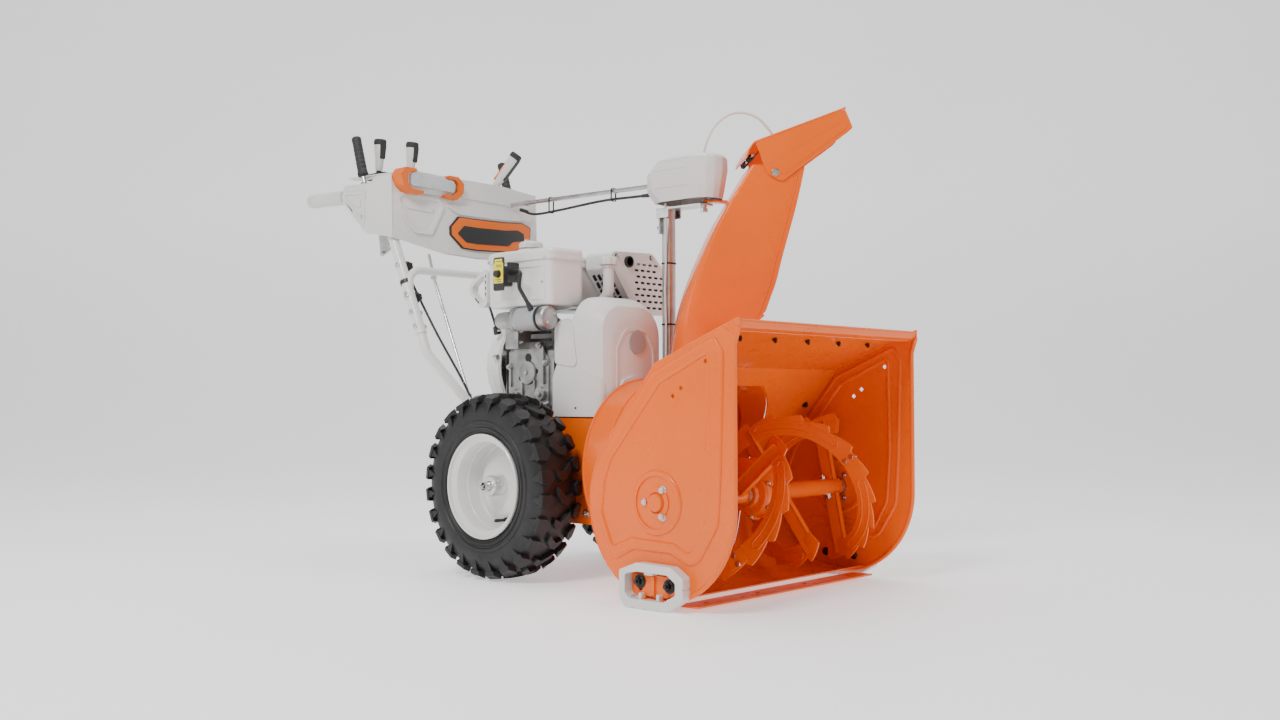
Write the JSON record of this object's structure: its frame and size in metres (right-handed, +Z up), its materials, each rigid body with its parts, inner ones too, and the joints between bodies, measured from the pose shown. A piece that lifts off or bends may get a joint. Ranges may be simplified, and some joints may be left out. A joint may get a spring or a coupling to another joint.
{
  "type": "two stage snowblower",
  "caption": "Walk-behind two stage snow thrower with ribbon augers, an impeller, a turning chute with a tilting deflector, an engine, lugged tyres and a dash with levers.",
  "frame": {"origin": "on the ground, below the middle of the whole machine's box", "axes": "+Z up, +Y from the auger housing back to the operator, +X to the operator's left"},
  "size_m": [0.7212, 1.4459, 1.0572],
  "materials": {
    "orange_paint": "gloss powder coat",
    "white_paint": "satin powder coat",
    "white_plastic": "fine moulded texture",
    "black_plastic": "fine moulded texture",
    "rubber": "matte",
    "tyre": "moulded, lightly dusty",
    "steel": "zinc plated",
    "aluminium": "as cast",
    "red_plastic": "gloss",
    "lens": "clear, over a frosted light bar"
  },
  "bodies": {
    "machine": {"auger_belt": "rubber", "belt_cover": "white_plastic", "chute_cable": "rubber", "chute_post": "steel", "chute_ring": "black_plastic", "clutch_cable": "rubber", "crankcase": "aluminium", "dash_panel": "white_plastic", "fuel_tank": "white_paint", "gear_cover": "white_plastic", "gearcase": "orange_paint", "grip_left": "white_plastic", "grip_right": "white_plastic", "handlebar": "white_paint", "headlight": "lens", "housing_wrap": "orange_paint", "impeller_drum": "orange_paint", "lower_handle_left": "white_paint", "lower_handle_right": "white_paint", "muffler_guard": "white_paint", "recoil_housing": "white_paint", "scraper_blade": "orange_paint", "side_plate_left": "orange_paint", "side_plate_right": "orange_paint", "skid_bracket_left": "orange_paint", "skid_bracket_right": "orange_paint", "skid_shoe_left": "white_plastic", "skid_shoe_right": "white_plastic", "starter_motor": "aluminium", "switch_box": "black_plastic", "switch_lead": "rubber", "tractor_frame": "orange_paint"},
    "auger": {"auger_shaft": "steel", "auger_right": "orange_paint", "auger_left": "orange_paint"},
    "impeller": {"impeller_shaft": "steel", "impeller": "orange_paint"},
    "crankshaft": {"crankshaft": "steel"},
    "drive_disc": {"drive_disc": "aluminium"},
    "hex_shaft": {"hex_shaft": "steel"},
    "friction_wheel": {"friction_wheel": "rubber"},
    "wheel_right": {"wheel_rim_right": "white_paint", "tyre_right": "tyre"},
    "wheel_left": {"wheel_rim_left": "white_paint", "tyre_left": "tyre", "axle": "steel"},
    "chute": {"chute": "orange_paint", "chute_gear": "orange_paint", "deflector_cable": "white_plastic"},
    "deflector": {"deflector": "orange_paint"},
    "chute_rod": {"chute_rod": "steel"},
    "chute_lever": {"chute_lever": "white_plastic"},
    "deflector_lever": {"deflector_lever": "white_plastic"},
    "speed_lever": {"speed_lever": "white_plastic"},
    "auger_lever": {"auger_lever": "black_plastic"},
    "drive_lever": {"drive_lever": "black_plastic"},
    "recoil_handle": {"recoil_handle": "white_plastic"},
    "fuel_cap": {"fuel_cap": "white_plastic"},
    "dipstick": {"dipstick": "white_plastic"},
    "start_button": {"start_button": "red_plastic"}
  },
  "joints": [
    {"name": "auger_turn", "type": "hinge", "parent": "machine", "child": "auger", "pos_m": [-0.0306, -0.526, 0.198], "axis": [1, 0, 0], "continuous": true},
    {"name": "impeller_turn", "type": "hinge", "parent": "machine", "child": "impeller", "pos_m": [-0.0306, -0.314, 0.243], "axis": [0, 1, 0], "continuous": true},
    {"name": "crankshaft_turn", "type": "hinge", "parent": "machine", "child": "crankshaft", "pos_m": [-0.0306, -0.014, 0.47], "axis": [0, 1, 0], "continuous": true},
    {"name": "drive_disc_turn", "type": "hinge", "parent": "machine", "child": "drive_disc", "pos_m": [-0.0306, -0.082, 0.285], "axis": [0, 1, 0], "continuous": true},
    {"name": "hex_shaft_turn", "type": "hinge", "parent": "machine", "child": "hex_shaft", "pos_m": [-0.0306, -0.024, 0.285], "axis": [1, 0, 0], "continuous": true},
    {"name": "friction_wheel_slide", "type": "slide", "parent": "hex_shaft", "child": "friction_wheel", "axis": [1, 0, 0], "range_m": [-0.0335, 0.056]},
    {"name": "wheel_right_turn", "type": "hinge", "parent": "machine", "child": "wheel_right", "pos_m": [-0.2556, 0.002, 0.203], "axis": [1, 0, 0], "continuous": true},
    {"name": "wheel_left_turn", "type": "hinge", "parent": "machine", "child": "wheel_left", "pos_m": [0.1944, 0.002, 0.203], "axis": [1, 0, 0], "continuous": true},
    {"name": "chute_turn", "type": "hinge", "parent": "machine", "child": "chute", "pos_m": [0.0744, -0.304, 0.44], "axis": [0, 0, 1], "range_deg": [-146.2, 52.8]},
    {"name": "chute_rod_turn", "type": "hinge", "parent": "machine", "child": "chute_rod", "pos_m": [0.0744, -0.259, 0.885], "axis": [0.0474, 0.9986, 0.0244], "range_deg": [-235, 90]},
    {"name": "chute_lever_tilt", "type": "hinge", "parent": "machine", "child": "chute_lever", "pos_m": [0.1194, 0.491, 0.93], "axis": [0, 1, 0], "range_deg": [-74, 28]},
    {"name": "deflector_tilt", "type": "hinge", "parent": "chute", "child": "deflector", "pos_m": [0.14572, -0.37121, 0.925], "axis": [0.6858, 0.7278, 0], "range_deg": [0, 40]},
    {"name": "deflector_lever_tilt", "type": "hinge", "parent": "machine", "child": "deflector_lever", "pos_m": [-0.2206, 0.508, 0.925], "axis": [1, 0, 0], "range_deg": [-25, 1]},
    {"name": "speed_lever_tilt", "type": "hinge", "parent": "machine", "child": "speed_lever", "pos_m": [-0.1256, 0.508, 0.93], "axis": [1, 0, 0], "range_deg": [-25, 15]},
    {"name": "auger_lever_press", "type": "hinge", "parent": "machine", "child": "auger_lever", "pos_m": [-0.2706, 0.491, 0.918], "axis": [-1, 0, 0], "range_deg": [0, 58], "stiffness_Nm_per_rad": 1.5, "springref_deg": -17.19},
    {"name": "drive_lever_press", "type": "hinge", "parent": "machine", "child": "drive_lever", "pos_m": [0.2094, 0.491, 0.918], "axis": [-1, 0, 0], "range_deg": [0, 58], "stiffness_Nm_per_rad": 1.5, "springref_deg": -17.19},
    {"name": "recoil_handle_pull", "type": "slide", "parent": "machine", "child": "recoil_handle", "axis": [0, 0.9929, -0.1191], "range_m": [0, 0.45], "stiffness_N_per_m": 20, "springref_m": -0.6},
    {"name": "fuel_cap_lift", "type": "slide", "parent": "machine", "child": "fuel_cap", "axis": [0, 0, 1], "range_m": [0, 0.05]},
    {"name": "dipstick_lift", "type": "slide", "parent": "machine", "child": "dipstick", "axis": [0, 0, 1], "range_m": [0, 0.1]},
    {"name": "start_button_press", "type": "slide", "parent": "machine", "child": "start_button", "axis": [1, 0, 0], "range_m": [0, 0.004], "stiffness_N_per_m": 800, "springref_m": -0.001}
  ],
  "couplings": [
    {"joint": "impeller_turn", "follows": "auger_turn", "ratio": 10},
    {"joint": "drive_disc_turn", "follows": "crankshaft_turn", "ratio": 0.7083},
    {"joint": "friction_wheel_slide", "follows": "speed_lever_tilt", "m_per_rad": -0.126},
    {"joint": "chute_rod_turn", "follows": "chute_turn", "ratio": 1.55},
    {"joint": "chute_lever_tilt", "follows": "chute_turn", "ratio": 0.488},
    {"joint": "deflector_lever_tilt", "follows": "deflector_tilt", "ratio": -0.6}
  ]
}
